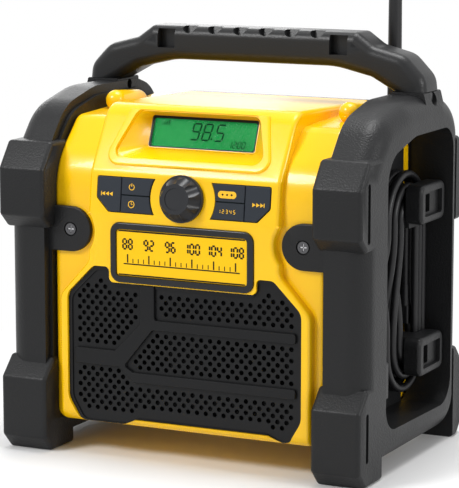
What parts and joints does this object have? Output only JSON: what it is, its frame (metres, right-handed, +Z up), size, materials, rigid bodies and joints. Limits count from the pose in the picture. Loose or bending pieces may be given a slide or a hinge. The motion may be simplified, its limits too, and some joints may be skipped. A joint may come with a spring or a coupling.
{
  "type": "jobsite radio",
  "caption": "Rugged jobsite radio: yellow housing between two black roll-cage side frames, arched handle, tuning knob, keys, speaker grille, whip antenna and wound mains cord.",
  "frame": {"origin": "centre of the overall box's footprint, on the ground", "axes": "+X to the right as one faces the front, +Y from the front to the back, +Z up"},
  "size_m": [0.26, 0.18, 0.43],
  "materials": {
    "yellow": "gloss",
    "frame_black": "fine leather grain",
    "handle_black": "satin",
    "grille_black": "satin",
    "key_grey": "satin",
    "knob_grey": "satin",
    "clear_pane": "gloss",
    "display_green": "satin",
    "guide_white": "satin",
    "badge_black": "gloss",
    "badge_yellow": "satin",
    "cord_rubber": "satin",
    "antenna_rubber": "satin",
    "cover_rubber": "matte",
    "cone_paper": "matte",
    "surround_rubber": "matte",
    "basket_steel": "satin",
    "magnet_iron": "matte",
    "screw_steel": "satin",
    "shaft_steel": "satin",
    "contact_brass": "satin",
    "board_green": "satin",
    "part_black": "satin",
    "sink_aluminium": "satin",
    "core_steel": "satin",
    "coil_wire": "gloss",
    "cell_steel": "gloss"
  },
  "bodies": {
    "radio": {"front_housing": "yellow", "rear_housing": "frame_black", "display_window": "clear_pane", "lcd_panel": "display_green", "display_light_guide": "guide_white", "control_board": "board_green", "key_switches": "part_black", "rotary_encoder": "shaft_steel", "badge_surround": "badge_black", "badge_plate": "badge_yellow", "speaker_grille": "grille_black", "speaker_baffle": "part_black", "speaker_basket_left": "basket_steel", "speaker_basket_right": "basket_steel", "speaker_magnet_left": "magnet_iron", "speaker_magnet_right": "magnet_iron", "speaker_surround_left": "surround_rubber", "speaker_surround_right": "surround_rubber", "side_frame_right": "frame_black", "side_frame_left": "frame_black", "handle": "handle_black", "handle_bolts": "screw_steel", "cord_hook_upper": "frame_black", "cord_hook_lower": "frame_black", "power_cord_winding": "cord_rubber", "power_cord_tail": "cord_rubber", "cord_gland": "cord_rubber", "plug_body": "cord_rubber", "plug_blades": "contact_brass", "antenna_foot": "frame_black", "antenna": "antenna_rubber", "battery_dock": "frame_black", "battery_terminals": "contact_brass", "aux_socket": "part_black", "aux_hinge_pins": "shaft_steel", "aux_hinge_ears": "frame_black", "main_board": "board_green", "heat_sink": "sink_aluminium", "transformer_core": "core_steel", "transformer_coil": "coil_wire", "cell_holder": "part_black", "clock_cell": "cell_steel", "cell_cover": "frame_black", "ear_screws": "screw_steel", "rear_screws": "screw_steel"},
    "knob": {"tuning_knob": "knob_grey", "knob_shaft": "shaft_steel"},
    "aux_lid": {"aux_cover": "cover_rubber"},
    "cone_left": {"speaker_cone_left": "cone_paper"},
    "cone_right": {"speaker_cone_right": "cone_paper"},
    "seek_back_button": {"seek_back_key": "key_grey"},
    "power_button": {"power_key": "key_grey"},
    "clock_button": {"clock_key": "key_grey"},
    "mode_button": {"mode_key": "key_grey"},
    "preset_button": {"preset_key": "key_grey"},
    "seek_forward_button": {"seek_forward_key": "key_grey"}
  },
  "joints": [
    {"name": "knob_spin", "type": "hinge", "parent": "radio", "child": "knob", "pos_m": [0, -0.07719, 0.1756], "axis": [0, -0.9934, 0.1149], "continuous": true},
    {"name": "seek_back_key_press", "type": "slide", "parent": "radio", "child": "seek_back_button", "axis": [0, 0.9934, -0.1149], "range_m": [0, 0.0006], "stiffness_N_per_m": 400},
    {"name": "power_key_press", "type": "slide", "parent": "radio", "child": "power_button", "axis": [0, 0.9934, -0.1149], "range_m": [0, 0.0006], "stiffness_N_per_m": 400},
    {"name": "clock_key_press", "type": "slide", "parent": "radio", "child": "clock_button", "axis": [0, 0.9934, -0.1149], "range_m": [0, 0.0006], "stiffness_N_per_m": 400},
    {"name": "mode_key_press", "type": "slide", "parent": "radio", "child": "mode_button", "axis": [0, 0.9934, -0.1149], "range_m": [0, 0.0006], "stiffness_N_per_m": 400},
    {"name": "preset_key_press", "type": "slide", "parent": "radio", "child": "preset_button", "axis": [0, 0.9934, -0.1149], "range_m": [0, 0.0006], "stiffness_N_per_m": 400},
    {"name": "seek_forward_key_press", "type": "slide", "parent": "radio", "child": "seek_forward_button", "axis": [0, 0.9934, -0.1149], "range_m": [0, 0.0006], "stiffness_N_per_m": 400},
    {"name": "aux_lid_hinge", "type": "hinge", "parent": "radio", "child": "aux_lid", "pos_m": [-0.07, 0.0883, 0.0795], "axis": [1, 0, 0], "range_deg": [0, 110]},
    {"name": "cone_left_travel", "type": "slide", "parent": "radio", "child": "cone_left", "axis": [0, 1, 0], "range_m": [-0.001, 0.001], "stiffness_N_per_m": 1500},
    {"name": "cone_right_travel", "type": "slide", "parent": "radio", "child": "cone_right", "axis": [0, 1, 0], "range_m": [-0.001, 0.001], "stiffness_N_per_m": 1500}
  ]
}
